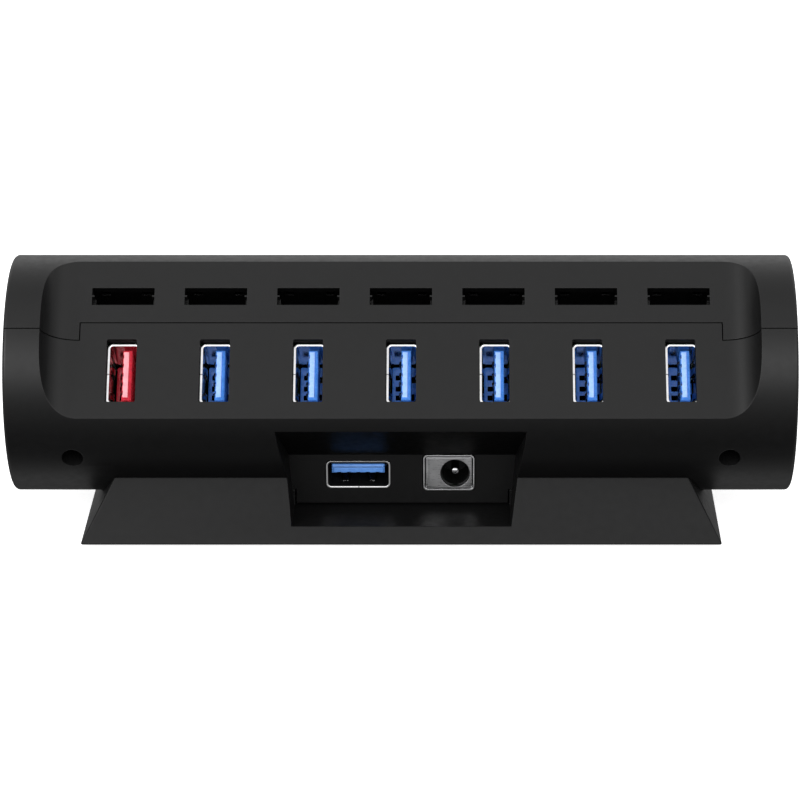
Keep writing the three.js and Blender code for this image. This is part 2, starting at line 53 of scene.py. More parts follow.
# ---- Driving dimensions, in millimetres as in the CAD part ----
BARREL_R = 24.5
BARREL_HALF = 80.5
BARREL_EDGE = 0.9
TILT = math.radians(42.2)
AXIS_HEIGHT = 29.37
WALL = 2.0
SEAM = 0.2
LIP_GAP = 0.02  # the lower shell's inner lip nearly closes the seam
ROUND_STEPS = 240
FAR = 100  # beyond every part of the hub

FACE = 17.2
FACE_CUT = (FACE - 3, FACE + 1)  # how deep the windows in the port face are cut
COVE_R = BARREL_R - FACE
COVE_X = 65.7
TAB_X = 65.6
TAB_TOP = 3.6
SPLIT_RISE = 1.05
SPLIT_LEAN = math.radians(4.15)

PORTS = range(7)
PORT_PITCH = 19.0
PORT_U = -6.8
PORT_HOLE = (6.16, 13.8)
PORT_HOLE_DROP = 0.1
PORT_BACK = 0.3
PORT_FRONT = 15.18
PORT_BASE = 4.7
PORT_SHELL_W, PORT_SHIFT = 6.6, 0.32
UPSTREAM_SHELL_W = 5.92
UPSTREAM_BACK, UPSTREAM_FRONT = -3.5, 10.9
UPSTREAM_BASE, UPSTREAM_TONGUE = 0.6, 10.25
SHELL_H = 13.3
SHELL_CORNER = 0.95
RIM_FLARE, RIM_DIP = 0.45, 0.16  # the rim of a shell, in parts of its sheet's thickness
PORT_SHEET, UPSTREAM_SHEET = 0.45, 0.32
CORE_PLAY = 0.65
CORE_H = 11.66
TONGUE_FRONT = 14.75
TONGUE_X = (0.02, 1.98)
USB2_CONTACTS = (3.5, 1.0, -1.0, -3.5)
USB3_CONTACTS = (4.0, 2.0, 0.0, -2.0, -4.0)
SLOT_U = 9.7
SLOT_LEFT, SLOT_RIGHT = -6.5, 6.3
SLOT_LOW, SLOT_HIGH = -2.0, 1.8
SLOT_RIB, SLOT_RIB_HALF = 0.5, 0.16
SOCKET_BOTTOM = 7.9
SOCKET_H = 5.0

FOOT_BOTTOM = -28.77
FOOT_TOP = -12.0
FOOT_HALF = (65.8, 25.13)
FOOT_LEAN = (0.558, 0.578)
BAY_FLOOR = -25.4
UPSTREAM = (-9.1, -18.7)
JACK = (9.7, -18.3)
JACK_HOLE = (11.0, -18.5)
SCREW_X = 67.0
SCREW_DEPTHS = (8.9, -12.0)
SCREW_HOLE_R = 2.2
SCREW_BOSS_R = 3.7
FOOT_SCREW_XS = (-54, -32, 32, 54)
RUBBER_AT = (55.0, 18.5)


def port_x(i):
    return (i - 3) * PORT_PITCH


# ---- Where things are: the level frame at barrel height, and the tilted barrel in it ----
TO_LEVEL = Matrix.Translation((0, 0, AXIS_HEIGHT * MM)) @ Matrix.Scale(MM, 4)
TO_BARREL = TO_LEVEL @ Matrix.Rotation(-TILT, 4, "X")
LEVELLED = Matrix.Rotation(TILT, 4, "X")  # a level solid, seen from the barrel's frame
SPLIT = Matrix.Translation((0, 0, SPLIT_RISE)) @ Matrix.Rotation(SPLIT_LEAN, 4, "X")


# ---- Outlines ----
def arc(cx, cy, r, start, end, steps):
    angles = [math.radians(start + (end - start) * k / steps) for k in range(steps + 1)]
    return [(cx + r * math.cos(a), cy + r * math.sin(a)) for a in angles]


def rounded(w, h, r, cx=0.0, cy=0.0, steps=5):
    """A rectangle with round corners, centred on (cx, cy)."""
    x, y = w / 2 - r, h / 2 - r
    corners = ((x, -y, -90), (x, y, 0), (-x, y, 90), (-x, -y, 180))
    return [p for a, b, s in corners for p in arc(cx + a, cy + b, r, s, s + 90, steps)]


def circle(r, cx=0.0, cy=0.0, steps=32):
    return arc(cx, cy, r, 0, 360 * (steps - 1) / steps, steps - 1)


def forward(a, b, d):
    """An (x, z) outline at a distance d in front of the axis."""
    return (a, -d, b)


def upward(a, b, d):
    return (a, b, d)


def sideways(a, b, d):
    """A (y, z) outline at x = d."""
    return (d, a, b)


# ---- Solids: bmesh in, object out ----
def loft(sections, place):
    """A closed solid through outlines of equal length, each given as (outline, depth)."""
    bm = bmesh.new()
    rings = [[bm.verts.new(place(a, b, d)) for a, b in outline] for outline, d in sections]
    for low, high in zip(rings, rings[1:]):
        for k in range(len(low)):
            j = (k + 1) % len(low)
            bm.faces.new((low[k], low[j], high[j], high[k]))
    bm.faces.new(rings[0])
    bm.faces.new(rings[-1])
    bmesh.ops.recalc_face_normals(bm, faces=bm.faces)
    return bm


def prism(outline, near, far, place=forward):
    return loft([(outline, near), (outline, far)], place)


def block(low, high):
    outline = [(low[0], low[1]), (high[0], low[1]), (high[0], high[1]), (low[0], high[1])]
    return prism(outline, low[2], high[2], upward)


def hexahedron(place):
    bm = bmesh.new()
    bmesh.ops.create_cube(bm, size=2)
    for v in bm.verts:
        v.co = place(*v.co)
    bmesh.ops.recalc_face_normals(bm, faces=bm.faces)
    return bm


def turned(profile, steps):
    """A solid of revolution about X: profile is (distance along X, radius), ends on the axis."""
    bm = bmesh.new()
    rings = []
    for along, r in profile:
        ring = []
        for k in range(steps if r > 0 else 1):
            a = 2 * math.pi * k / steps
            ring.append(bm.verts.new((along, r * math.cos(a), r * math.sin(a))))
        rings.append(ring)
    for low, high in zip(rings, rings[1:]):
        for k in range(steps):
            j = (k + 1) % steps
            if len(low) == 1:
                bm.faces.new((low[0], high[j], high[k]))
            elif len(high) == 1:
                bm.faces.new((low[k], low[j], high[0]))
            else:
                bm.faces.new((low[k], low[j], high[j], high[k]))
    bmesh.ops.recalc_face_normals(bm, faces=bm.faces)
    return bm


def drum(r, half, edge=0.0, steps=ROUND_STEPS):
    rim = arc(half - edge, r - edge, edge, 0, 90, 8) if edge else [(half, r)]
    profile = [(half, 0)] + rim + [(-x, y) for x, y in reversed(rim)] + [(-half, 0)]
    return turned(profile, steps)


def make(name, *pieces, matrix=None):
    """Joins bmeshes into one object. They may only touch or overlap where a boolean follows."""
    mesh = bpy.data.meshes.new(name)
    joined = bmesh.new()
    for bm in pieces:
        part = bpy.data.meshes.new("part")
        bm.to_mesh(part)
        bm.free()
        joined.from_mesh(part)
        bpy.data.meshes.remove(part)
    joined.to_mesh(mesh)
    joined.free()
    if matrix:
        mesh.transform(matrix)
    made = bpy.data.objects.new(name, mesh)
    bpy.context.scene.collection.objects.link(made)
    return made


def bake_modifiers(obj):
    graph = bpy.context.evaluated_depsgraph_get()
    mesh = bpy.data.meshes.new_from_object(obj.evaluated_get(graph))
    obj.modifiers.clear()
    old = obj.data
    obj.data = mesh
    bpy.data.meshes.remove(old)


def boolean(obj, tool, operation="DIFFERENCE"):
    mod = obj.modifiers.new("boolean", "BOOLEAN")
    mod.operation, mod.object, mod.solver = operation, tool, "EXACT"
    bake_modifiers(obj)
    mesh = tool.data
    bpy.data.objects.remove(tool)
    bpy.data.meshes.remove(mesh)
    return obj


def cut(obj, *pieces, matrix=None):
    return boolean(obj, make("tool", *pieces, matrix=matrix))


def add(obj, *pieces, matrix=None):
    return boolean(obj, make("tool", *pieces, matrix=matrix), "UNION")


def bevel(obj, width, segments=2, angle=40):
    mod = obj.modifiers.new("bevel", "BEVEL")
    mod.width, mod.segments = width, segments
    mod.limit_method, mod.angle_limit = "ANGLE", math.radians(angle)
    bake_modifiers(obj)
    return obj


def smooth(obj, angle=30):
    obj.data.shade_smooth()
    obj.data.set_sharp_from_angle(angle=math.radians(angle))


def finish_piece(obj, name, looks, nodes=(), body=BODY, slot=None, matrix=None, pick=None):
    """Names a solid, puts it in place in metres, gives it its finish and body, and hides the CAD nodes it
    replaces.

    With several looks, pick chooses one for each face from its middle and normal.
    """
    bm = bmesh.new()
    bm.from_mesh(obj.data)
    bmesh.ops.remove_doubles(bm, verts=bm.verts, dist=1e-4)
    bmesh.ops.dissolve_degenerate(bm, edges=bm.edges, dist=1e-4)
    bm.to_mesh(obj.data)
    bm.free()
    obj.name = obj.data.name = name
    obj.data.materials.clear()
    for look in looks if isinstance(looks, tuple) else (looks,):
        obj.data.materials.append(look)
    if pick:
        for face in obj.data.polygons:
            face.material_index = pick(face.center, face.normal)
    obj.data.transform(matrix or TO_LEVEL)
    smooth(obj)
    if nodes:
        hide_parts(*nodes)
    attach(obj, body)
    return obj


def copy_of(obj, name):
    twin = bpy.data.objects.new(name, obj.data.copy())
    bpy.context.scene.collection.objects.link(twin)
    return twin


# ---- Materials ----
class Nodes:
    """A small helper round a material's node tree."""

    def __init__(self, name):
        self.material = bpy.data.materials.new(name)
        self.material.use_nodes = True
        self.tree = self.material.node_tree
        self.shader = self.tree.nodes["Principled BSDF"]

    def new(self, kind, inputs=(), **settings):
        node = self.tree.nodes.new(kind)
        for key, value in settings.items():
            setattr(node, key, value)
        for key, value in dict(inputs).items():
            if isinstance(value, bpy.types.NodeSocket):
                self.tree.links.new(value, node.inputs[key])
            else:
                node.inputs[key].default_value = value
        return node

    def set(self, **values):
        for key, value in values.items():
            socket = self.shader.inputs[key.replace("_", " ")]
            if isinstance(value, bpy.types.NodeSocket):
                self.tree.links.new(value, socket)
            else:
                socket.default_value = value

    def position(self, stretch=(1, 1, 1)):
        coordinates = self.new("ShaderNodeTexCoord")
        mapping = self.new("ShaderNodeMapping", {"Vector": coordinates.outputs["Object"], "Scale": stretch})
        return mapping.outputs["Vector"]

    def noise(self, scale, detail=3.0, stretch=(1, 1, 1)):
        inputs = {"Vector": self.position(stretch), "Scale": scale, "Detail": detail}
        return self.new("ShaderNodeTexNoise", inputs).outputs["Fac"]

    def ramp(self, value, low, high, out_low, out_high):
        inputs = {"Value": value, "From Min": low, "From Max": high, "To Min": out_low, "To Max": out_high}
        return self.new("ShaderNodeMapRange", inputs).outputs["Result"]

    def mix(self, factor, first, second):
        node = self.new("ShaderNodeMix", data_type="RGBA")
        for socket, value in ((node.inputs[0], factor), (node.inputs[6], first), (node.inputs[7], second)):
            if isinstance(value, bpy.types.NodeSocket):
                self.tree.links.new(value, socket)
            else:
                socket.default_value = value
        return node.outputs[2]

    def bump(self, height, strength, distance, normal=None):
        inputs = {"Height": height, "Strength": strength, "Distance": distance}
        if normal:
            inputs["Normal"] = normal
        return self.new("ShaderNodeBump", inputs).outputs["Normal"]

    def soft_edges(self, radius):
        return self.new("ShaderNodeBevel", {"Radius": radius}, samples=6).outputs["Normal"]

    def edge_wear(self, radius):
        """0 on open surfaces, towards 1 on edges: how far the rounded normal leaves the true one."""
        geometry = self.new("ShaderNodeNewGeometry")
        rounded_normal = self.soft_edges(radius)
        dot = self.new("ShaderNodeVectorMath", operation="DOT_PRODUCT")
        self.tree.links.new(geometry.outputs["Normal"], dot.inputs[0])
        self.tree.links.new(rounded_normal, dot.inputs[1])
        return self.ramp(dot.outputs["Value"], 1.0, 0.75, 0.0, 1.0)


def grey(level):
    """A grey with a trace of blue."""
    return (level, level, level * 1.04, 1)


def textured_plastic(name, level, roughness, edge=0.0002, specular=0.3):
    """Black ABS with a fine spark-eroded grain, faint flow marks and slightly polished edges."""
    n = Nodes(name)
    grain = n.noise(9000, 2)
    flow = n.noise(60, 4, (0.35, 1, 1))
    wear = n.edge_wear(edge * 1.5)
    base = n.mix(n.ramp(flow, 0.3, 0.7, 0, 1), grey(level * 0.9), grey(level * 1.12))
    n.set(Base_Color=n.mix(wear, base, grey(level * 2.2)))
    rough = n.ramp(n.noise(700, 3), 0.3, 0.7, roughness - 0.04, roughness + 0.04)
    n.set(Roughness=rough)
    n.shader.inputs["Specular IOR Level"].default_value = specular
    n.set(Normal=n.bump(grain, 0.22, 0.00003, n.soft_edges(edge)))
    return n.material


def moulded_plastic(name, color, dark, roughness):
    """Smooth nylon of the receptacle cores, a little darker in patches."""
    n = Nodes(name)
    patches = n.noise(900, 3)
    n.set(Base_Color=n.mix(n.ramp(patches, 0.35, 0.7, 0, 1), color, dark))
    n.set(Roughness=n.ramp(n.noise(2500, 2), 0.3, 0.7, roughness - 0.05, roughness + 0.08))
    n.set(Normal=n.bump(n.noise(6000, 2), 0.12, 0.00003, n.soft_edges(0.00008)))
    return n.material


def metal(name, color, roughness, stretch=(1, 1, 1), edge=0.00008, scratches=0.15):
    """Plated or bare sheet: fine drawn lines in one direction and a slightly uneven sheen."""
    n = Nodes(name)
    lines = n.noise(5000, 2, stretch)
    tone = n.ramp(n.noise(400, 3), 0.3, 0.7, 0, 1)
    dark = tuple(c * 0.82 for c in color[:3]) + (1,)
    n.set(Base_Color=n.mix(tone, color, dark), Metallic=1.0)
    n.set(Roughness=n.ramp(lines, 0.3, 0.7, roughness * 0.8, roughness * 1.3))
    n.set(Normal=n.bump(lines, scratches, 0.00002, n.soft_edges(edge)))
    return n.material


def rubber_material():
    n = Nodes("rubber_feet")
    n.set(Base_Color=n.mix(n.noise(800, 4), grey(0.012), grey(0.02)), Roughness=0.9)
    n.set(Normal=n.bump(n.noise(3000, 3), 0.4, 0.00006))
    return n.material


def board_material():
    """Solder mask with faint copper traces under it and tinned pads."""
    n = Nodes("circuit_board")
    traces = n.new("ShaderNodeTexBrick", {"Vector": n.position(), "Scale": 260, "Mortar Size": 0.012})
    n.tree.links.new(n.noise(1200, 2), traces.inputs["Mortar Smooth"])
    traces.inputs["Color1"].default_value = (0.012, 0.11, 0.035, 1)
    traces.inputs["Color2"].default_value = (0.014, 0.13, 0.045, 1)
    traces.inputs["Mortar"].default_value = (0.03, 0.22, 0.08, 1)
    n.set(Base_Color=traces.outputs["Color"])
    n.set(Roughness=n.ramp(n.noise(900, 3), 0.3, 0.7, 0.28, 0.42))
    n.set(Normal=n.bump(traces.outputs["Fac"], 0.3, 0.00004))
    return n.material


CASING = textured_plastic("casing_plastic", 0.0032, 0.38, specular=0.32)
FOOT_PLASTIC = textured_plastic("foot_plastic", 0.0032, 0.42, 0.00025, 0.18)
BAY_PLASTIC = textured_plastic("bay_plastic", 0.003, 0.42, 0.0001, 0.2)
INNER_BLACK = textured_plastic("socket_plastic", 0.005, 0.4, 0.00008)
CHIP = textured_plastic("chip_epoxy", 0.012, 0.5, 0.0001)
RUBBER = rubber_material()
STEEL = metal("nickel_sheet", (0.95, 0.95, 0.96, 1), 0.14, (1, 1, 0.12), edge=0.00004, scratches=0.05)
JACK_STEEL = metal("jack_sheet", (0.5, 0.5, 0.51, 1), 0.3, (0.12, 1, 1), scratches=0.015)
# Painted shade: a dark copy of the sheet for the inside of the upstream receptacle's tube.
STEEL_PAINTED_SHADE = metal("sheet_painted_shade", (0.1, 0.1, 0.105, 1), 0.4, (1, 1, 0.12))
SOCKET_STEEL = metal("socket_sheet", (0.05, 0.05, 0.052, 1), 0.4, (0.12, 1, 1))
SCREW_STEEL = metal("black_zinc", (0.12, 0.12, 0.125, 1), 0.35, edge=0.00015)
CONTACT = metal("contact_plating", (0.2, 0.19, 0.17, 1), 0.3)
CONTACT_DULL = metal("socket_contact", (0.3, 0.28, 0.24, 1), 0.35)
PIN_STEEL = metal("pin_nickel", (0.5, 0.5, 0.51, 1), 0.16, edge=0.0001, scratches=0.03)
BLUE = moulded_plastic("blue_core", (0.1, 0.33, 0.95, 1), (0.05, 0.24, 0.8, 1), 0.28)
# Painted light: lighter copies of each core nylon for the front of its tongue.
BLUE_PAINTED_LIGHT = moulded_plastic("blue_tongue_painted_light", (0.36, 0.56, 1.0, 1), (0.28, 0.5, 0.98, 1), 0.25)
RED = moulded_plastic("red_core", (0.85, 0.04, 0.07, 1), (0.62, 0.02, 0.045, 1), 0.28)
RED_PAINTED_LIGHT = moulded_plastic("red_tongue_painted_light", (1.0, 0.42, 0.46, 1), (0.95, 0.32, 0.37, 1), 0.25)
NAVY = moulded_plastic("navy_core", (0.012, 0.04, 0.13, 1), (0.01, 0.03, 0.1, 1), 0.35)
NAVY_PAINTED_LIGHT = moulded_plastic("navy_tongue_painted_light", (0.13, 0.33, 0.8, 1), (0.1, 0.28, 0.74, 1), 0.3)
# Painted shade: a darker, nearly unreflecting copy of the black plastic for the walls of holes and of the
# core pockets.
HOLE_PAINTED_SHADE = textured_plastic("hole_walls_painted_shade", 0.002, 0.6, 0.00008, 0.05)
# Looks of a core by face: the nylon, its lighter copy on the tongue's front as painted light, and painted
# shade on the pocket walls.
BLUE_LOOKS = (BLUE, BLUE_PAINTED_LIGHT, HOLE_PAINTED_SHADE)
RED_LOOKS = (RED, RED_PAINTED_LIGHT, HOLE_PAINTED_SHADE)
UPSTREAM_LOOKS = (NAVY, NAVY_PAINTED_LIGHT, HOLE_PAINTED_SHADE)
RIBBON = moulded_plastic("ribbon_film", (0.62, 0.6, 0.5, 1), (0.5, 0.48, 0.4, 1), 0.4)
BOARD = board_material()


# ---- Casing ----
def scoop(grow):
    outside = BARREL_R + 6
    r = COVE_R + grow
    left = arc(-COVE_X, -BARREL_R, r, 180, 90, 24)
    right = arc(COVE_X, -BARREL_R, r, 90, 0, 24)
    outline = [(-COVE_X - r, -outside), *left, *right, (COVE_X + r, -outside)]
    return prism(outline, -outside, outside, upward)


def bay(grow):
    """The space in front of the inlet panel, level; grow moves its walls outwards."""
    front_y, front_top = -26.0, -3.0
    panel_y, panel_top = -10.6, -14.4
    halves = {(-1, 1): 25.9, (-1, -1): 22.6, (1, 1): 23.5, (1, -1): 22.5}
    slope = (front_top - panel_top) / (panel_y - front_y)
    rise = grow * math.hypot(1, slope)

    def place(sx, sy, sz):
        side, height = (1 if sy > 0 else -1), (1 if sz > 0 else -1)
        x = (1 if sx > 0 else -1) * (halves[side, height] + grow)
        y = panel_y + grow if sy > 0 else front_y
        top = (panel_top - grow * slope if sy > 0 else front_top) + rise
        return (x, y, top if sz > 0 else BAY_FLOOR)

    return hexahedron(place)


def barrel_with_scoop(name, r, half, edge, grow):
    return cut(make(name, drum(r, half, edge)), scoop(grow))


def upper_shell():
    """The top half: a recess for the lower shell's tab, and card slots with a rib at each end."""
    shell = barrel_with_scoop("upper", BARREL_R, BARREL_HALF, BARREL_EDGE, 0)
    below = make("below", block((-FAR, -FAR, -60), (FAR, FAR, SEAM / 2)), matrix=SPLIT)
    tab = block((-TAB_X - SEAM, -60, -1), (TAB_X + SEAM, WALL - FACE + SEAM, TAB_TOP + SEAM))
    boolean(shell, add(below, tab))
    boolean(shell, barrel_with_scoop("inner", BARREL_R - WALL, BARREL_HALF - WALL, 0, WALL))
    slots = []
    for i in PORTS:
        left, right = port_x(i) + SLOT_LEFT, port_x(i) + SLOT_RIGHT
        low, high = SLOT_U + SLOT_LOW, SLOT_U + SLOT_HIGH
        rib_low, rib_high = SLOT_U - SLOT_RIB_HALF, SLOT_U + SLOT_RIB_HALF
        outline = [(left, low), (right, low), (right, rib_low), (right - SLOT_RIB, rib_low)]
        outline += [(right - SLOT_RIB, rib_high), (right, rib_high), (right, high), (left, high)]
        outline += [(left, rib_high), (left + SLOT_RIB, rib_high)]
        outline += [(left + SLOT_RIB, rib_low), (left, rib_low)]
        slots.append(prism(outline, *FACE_CUT))
    return cut(shell, *slots)


def lower_shell():
    """The bottom half: tab, inner lip, bulge round the inlet board, screw bosses, bay and windows."""
    shell = barrel_with_scoop("lower", BARREL_R, BARREL_HALF, BARREL_EDGE, 0)
    bulge = block((-22, -11.6, BAY_FLOOR + 0.3), (22, 12, -10))
    add(shell, bulge, matrix=LEVELLED)
    above = make("above", block((-FAR, -FAR, -SEAM / 2), (FAR, FAR, 60)), matrix=SPLIT)
    tab = block((-TAB_X, -60, -1), (TAB_X, WALL - FACE, TAB_TOP))
    boolean(shell, boolean(above, make("tab", tab)))
    lip = barrel_with_scoop("lip", BARREL_R - WALL / 2, BARREL_HALF - WALL / 2, 0, WALL / 2)
    step = make("step", block((-FAR, -FAR, -SEAM), (FAR, FAR, SEAM / 2 - LIP_GAP)), matrix=SPLIT)
    boolean(shell, boolean(lip, step, "INTERSECT"), "UNION")
    inner = barrel_with_scoop("inner", BARREL_R - WALL, BARREL_HALF - WALL, 0, WALL)
    add(inner, block((-20, -8.6, BAY_FLOOR + 1.8), (20, 10, -6)), matrix=LEVELLED)
    boolean(shell, cut(inner, bay(WALL), matrix=LEVELLED))
    places = [(sx * SCREW_X, -depth) for sx in (-1, 1) for depth in SCREW_DEPTHS]
    bosses = make("bosses", *(prism(circle(SCREW_BOSS_R, x, y), -26, -1, upward) for x, y in places))
    boolean(bosses, make("barrel", drum(BARREL_R - 0.5, BARREL_HALF - 1)), "INTERSECT")
    boolean(shell, bosses, "UNION")
    cut(shell, *(prism(circle(SCREW_HOLE_R, x, y, 48), -30, -8, upward) for x, y in places))
    cut(shell, bay(0), matrix=LEVELLED)
    ports = [rounded(*PORT_HOLE, 0.3, port_x(i), PORT_U - PORT_HOLE_DROP) for i in PORTS]
    cut(shell, *(prism(outline, *FACE_CUT) for outline in ports))
    panel_back, panel_front = 7.6, 11.6
    upstream_hole = prism(rounded(13.5, 6.1, 0.9, *UPSTREAM), panel_back, panel_front)
    jack_hole = prism(rounded(11.0, 8.05, 0.95, *JACK), panel_back, panel_front)
    return cut(shell, upstream_hole, jack_hole, matrix=LEVELLED)


def foot():
    """A leaning block that cradles the barrel, with hollows below and seats for the rubber feet."""
    wall, rim_start, rim_end = 2.2, 15.5, 30

    def place(inset, bottom):
        def corner(sx, sy, sz):
            z = FOOT_TOP if sz > 0 else bottom
            rise = z - FOOT_BOTTOM
            x, y = (h - lean * rise - inset for h, lean in zip(FOOT_HALF, FOOT_LEAN))
            return (math.copysign(x, sx), math.copysign(y, sy), z)
        return corner

    body = bevel(make("foot", hexahedron(place(0, FOOT_BOTTOM))), 0.4, 4)
    cut(body, drum(BARREL_R + 0.06, FAR))
    nest = block((-22.3, -10.9, BAY_FLOOR), (22.3, 12.3, 0))
    cut(body, bay(0))
    cut(body, nest)
    flare = [(-22.7, -21.5), (-22.9, -19.5), (-23.2, -18.0), (-23.7, -16.5), (-24.4, -15)]
    flare += [(-20, -15), (-20, -21.5)]
    mirrored = [(-x, z) for x, z in reversed(flare)]
    cut(body, prism(flare, rim_start, rim_end), prism(mirrored, rim_start, rim_end))
    skirt = cut(make("skirt", hexahedron(place(wall, FOOT_BOTTOM - 1))), drum(BARREL_R + 2.5, FAR))
    pockets = []
    pocket_width = 9.9
    for sx in (-1, 1):
        for start in (25.5, 37.0, 48.5):
            for sy in (-1, 1):
                xs = sorted((sx * start, sx * (start + pocket_width)))
                ys = sorted((sy * 8, sy * 40))
                pockets.append(block((xs[0], ys[0], -40), (xs[1], ys[1], -10)))
    boolean(skirt, make("pockets", *pockets), "INTERSECT")
    pads = [(sx * RUBBER_AT[0], sy * RUBBER_AT[1]) for sx in (-1, 1) for sy in (-1, 1)]
    cut(skirt, *(prism(circle(6.1, x, y), -40, FOOT_BOTTOM + 2.6, upward) for x, y in pads))
    boolean(body, skirt)
    cut(body, *(prism(circle(4.8, x, y, 48), -30, FOOT_BOTTOM + 1.1, upward) for x, y in pads))
    cut(body, *(prism(circle(2.8, x, 0), -30, -26.6, upward) for x in FOOT_SCREW_XS))
    return body


def lower_shell_face(middle, normal):
    """1 for the walls of the port and screw holes, which get painted shade, 2 for the surfaces round the
    connector bay.
    """
    inside = abs(normal.y) < 0.1 and -FACE + 0.01 < middle.y < -FACE + WALL
    across = min(abs(middle.x - port_x(i)) for i in PORTS)
    along = abs(middle.z - PORT_U)
    if inside and across < PORT_HOLE[0] / 2 + 0.05 and along < PORT_HOLE[1] / 2 + 0.2:
        return 1
    screws = [math.hypot(abs(middle.x) - SCREW_X, middle.y + depth) for depth in SCREW_DEPTHS]
    if min(screws) < SCREW_HOLE_R + 0.05 and abs(normal.z) < 0.1:
        return 1
    level = LEVELLED.inverted() @ middle
    below_skin = math.hypot(middle.y, middle.z) < BARREL_R - 0.6
    bay_half, bay_back, bay_top = 27, -10.4, -4
    in_bay = abs(middle.x) < bay_half and level.y < bay_back and level.z < bay_top
    return 2 if below_skin and in_bay else 0


finish_piece(upper_shell(), "upper_shell_visual", CASING, ["upper_shell"], slot="casing_black",
             matrix=TO_BARREL)
finish_piece(lower_shell(), "lower_shell_visual", (CASING, HOLE_PAINTED_SHADE, BAY_PLASTIC), ["lower_shell"],
             slot="casing_black", matrix=TO_BARREL, pick=lower_shell_face)
finish_piece(foot(), "foot_visual", FOOT_PLASTIC, ["foot"], slot="foot_black")


# ---- Type-A receptacles, pointing forwards, upright, centred on the axis ----
def tube(name, w, h, t, r, near, far, flare=0.05, dip=0.1):
    """A sheet metal tube with a rounded rim that opens out by flare over a depth of dip."""
    edge = 0.05
    outer = [(rounded(w, h, r), near), (rounded(w, h, r), far - edge)]
    outer.append((rounded(w - edge, h - edge, r - edge / 2), far))
    iw, ih, ir = w - 2 * t, h - 2 * t, r - t + 0.12
    inner = [(rounded(iw, ih, ir), near - 1), (rounded(iw, ih, ir), far - dip)]
    inner.append((rounded(iw + 4 * flare, ih + 4 * flare, ir + 2 * flare), far + dip))
    return cut(make(name, loft(outer, forward)), loft(inner, forward))


LEAF_PLACES = [(sx, z) for sx in (-1, 1) for z in (-2.8, 2.8)]
LEAF_FRONT, LEAF_BACK, LEAF_HALF, LEAF_GAP, LEAF_TAPER = 3.2, 9.0, 1.25, 0.22, 0.45
CONTACT_HALF_THICK = 0.06


def receptacle_shell(width, shift, sheet, near, far):
    """A folded sheet tube with its butt joint on one side and a slit round each spring leaf."""
    shell = tube("receptacle", width, SHELL_H, sheet, SHELL_CORNER, near, far,
                 sheet * RIM_FLARE, sheet * RIM_DIP)
    joint = block((-4, -far - 1, -0.18), (-2, -near - 4, -0.02))
    cut(shell, joint)
    slits = []
    for sx, z in LEAF_PLACES:
        back, front, inside = LEAF_BACK - far, LEAF_FRONT - far, LEAF_FRONT - far + LEAF_GAP
        outer, inner, taper = LEAF_HALF, LEAF_HALF - LEAF_GAP, LEAF_TAPER
        outline = [(back, z - outer), (front, z - outer + taper)]
        outline += [(front, z + outer - taper), (back, z + outer)]
        outline += [(back, z + inner), (inside, z + inner - taper)]
        outline += [(inside, z - inner + taper), (back, z - inner)]
        ends = sorted((sx * (width / 2 - 0.8), sx * (width / 2 + 0.3)))
        slits.append(prism(outline, *ends, place=sideways))
    cut(shell, *slits)
    shell.data.transform(Matrix.Translation((shift, 0, 0)))
    return shell


def spring_leaves(width, shift, far):
    """The four pressed springs of a shell, bowed inwards along their length."""
    steps, depth, half_thick, inset = 12, 0.75, 0.09, 0.14
    length = LEAF_BACK - LEAF_FRONT - LEAF_GAP - 0.1
    pieces = []
    for sx, z in LEAF_PLACES:
        sections = []
        for k in range(steps + 1):
            s = k / steps
            bow = depth * math.sin(math.pi * min(s * 1.1, 1)) ** 1.3
            half = LEAF_HALF - LEAF_GAP - 0.05 - LEAF_TAPER * s
            x = shift + sx * (width / 2 - inset - bow)
            near_x, far_x = x - half_thick, x + half_thick
            outline = [(near_x, z - half), (far_x, z - half), (far_x, z + half), (near_x, z + half)]
            sections.append((outline, far - LEAF_BACK + length * s))
        pieces.append(loft(sections, forward))
    return make("leaves", *pieces)


def receptacle_core(width, shift, near, base_front, tongue_front):
    """Insulator: a base with contact pockets beside the tongue, and the tongue with its grooves."""
    core = make("core", prism(rounded(width, CORE_H, 0.9, shift), near, base_front))
    left, right, half = TONGUE_X[0], TONGUE_X[1], 5.5
    middle, across = (left + right) / 2, right - left
    tongue = [(rounded(across, 2 * half, 0.1, middle), base_front - 1)]
    tongue.append((rounded(across, 2 * half, 0.1, middle), tongue_front - 0.45))
    tongue.append((rounded(across - 0.92, 2 * half - 1.0, 0.1, middle - 0.22), tongue_front))
    add(core, loft(tongue, forward))
    groove, groove_end = left + 1.32, half - 0.45
    low = (groove, -tongue_front - 1, -groove_end)
    high = (groove + 0.12, -tongue_front + 0.35, groove_end)
    cut(core, block(low, high))
    pockets = []
    for z in USB2_CONTACTS:
        pockets.append(block((-1.27, -base_front - 1, z - 0.55), (left - 0.02, -base_front + 3, z + 0.55)))
    for z in (2.3, -1.6):
        pockets.append(block((right + 0.05, -base_front - 1, z), (3, -base_front + 1.5, z + 1.4)))
    cut(core, *pockets)
    cut(core, block((-3, -base_front - 1, -7), (-1.98, -base_front + 1.2, 7)))
    cut(core, *(block((left - 0.3, -tongue_front + 1.6, z - 0.45), (left + 0.28, -base_front - 0.1, z + 0.45))
                for z in USB2_CONTACTS))
    cut(core, *(block((left - 0.3, -tongue_front - 1, z - 0.42), (left + 0.32, -tongue_front + 1.3, z + 0.42))
                for z in USB3_CONTACTS))
    return bevel(core, 0.07, 2)


def contact_row(places, path, half):
    """Sheet contacts that follow one (distance forwards, x) path at each place along the tongue."""
    pieces = []
    for z in places:
        sections = []
        for d, x in path:
            near_x, far_x = x - CONTACT_HALF_THICK, x + CONTACT_HALF_THICK
            outline = [(near_x, z - half), (far_x, z - half), (far_x, z + half), (near_x, z + half)]
            sections.append((outline, d))
        pieces.append(loft(sections, forward))
    return pieces


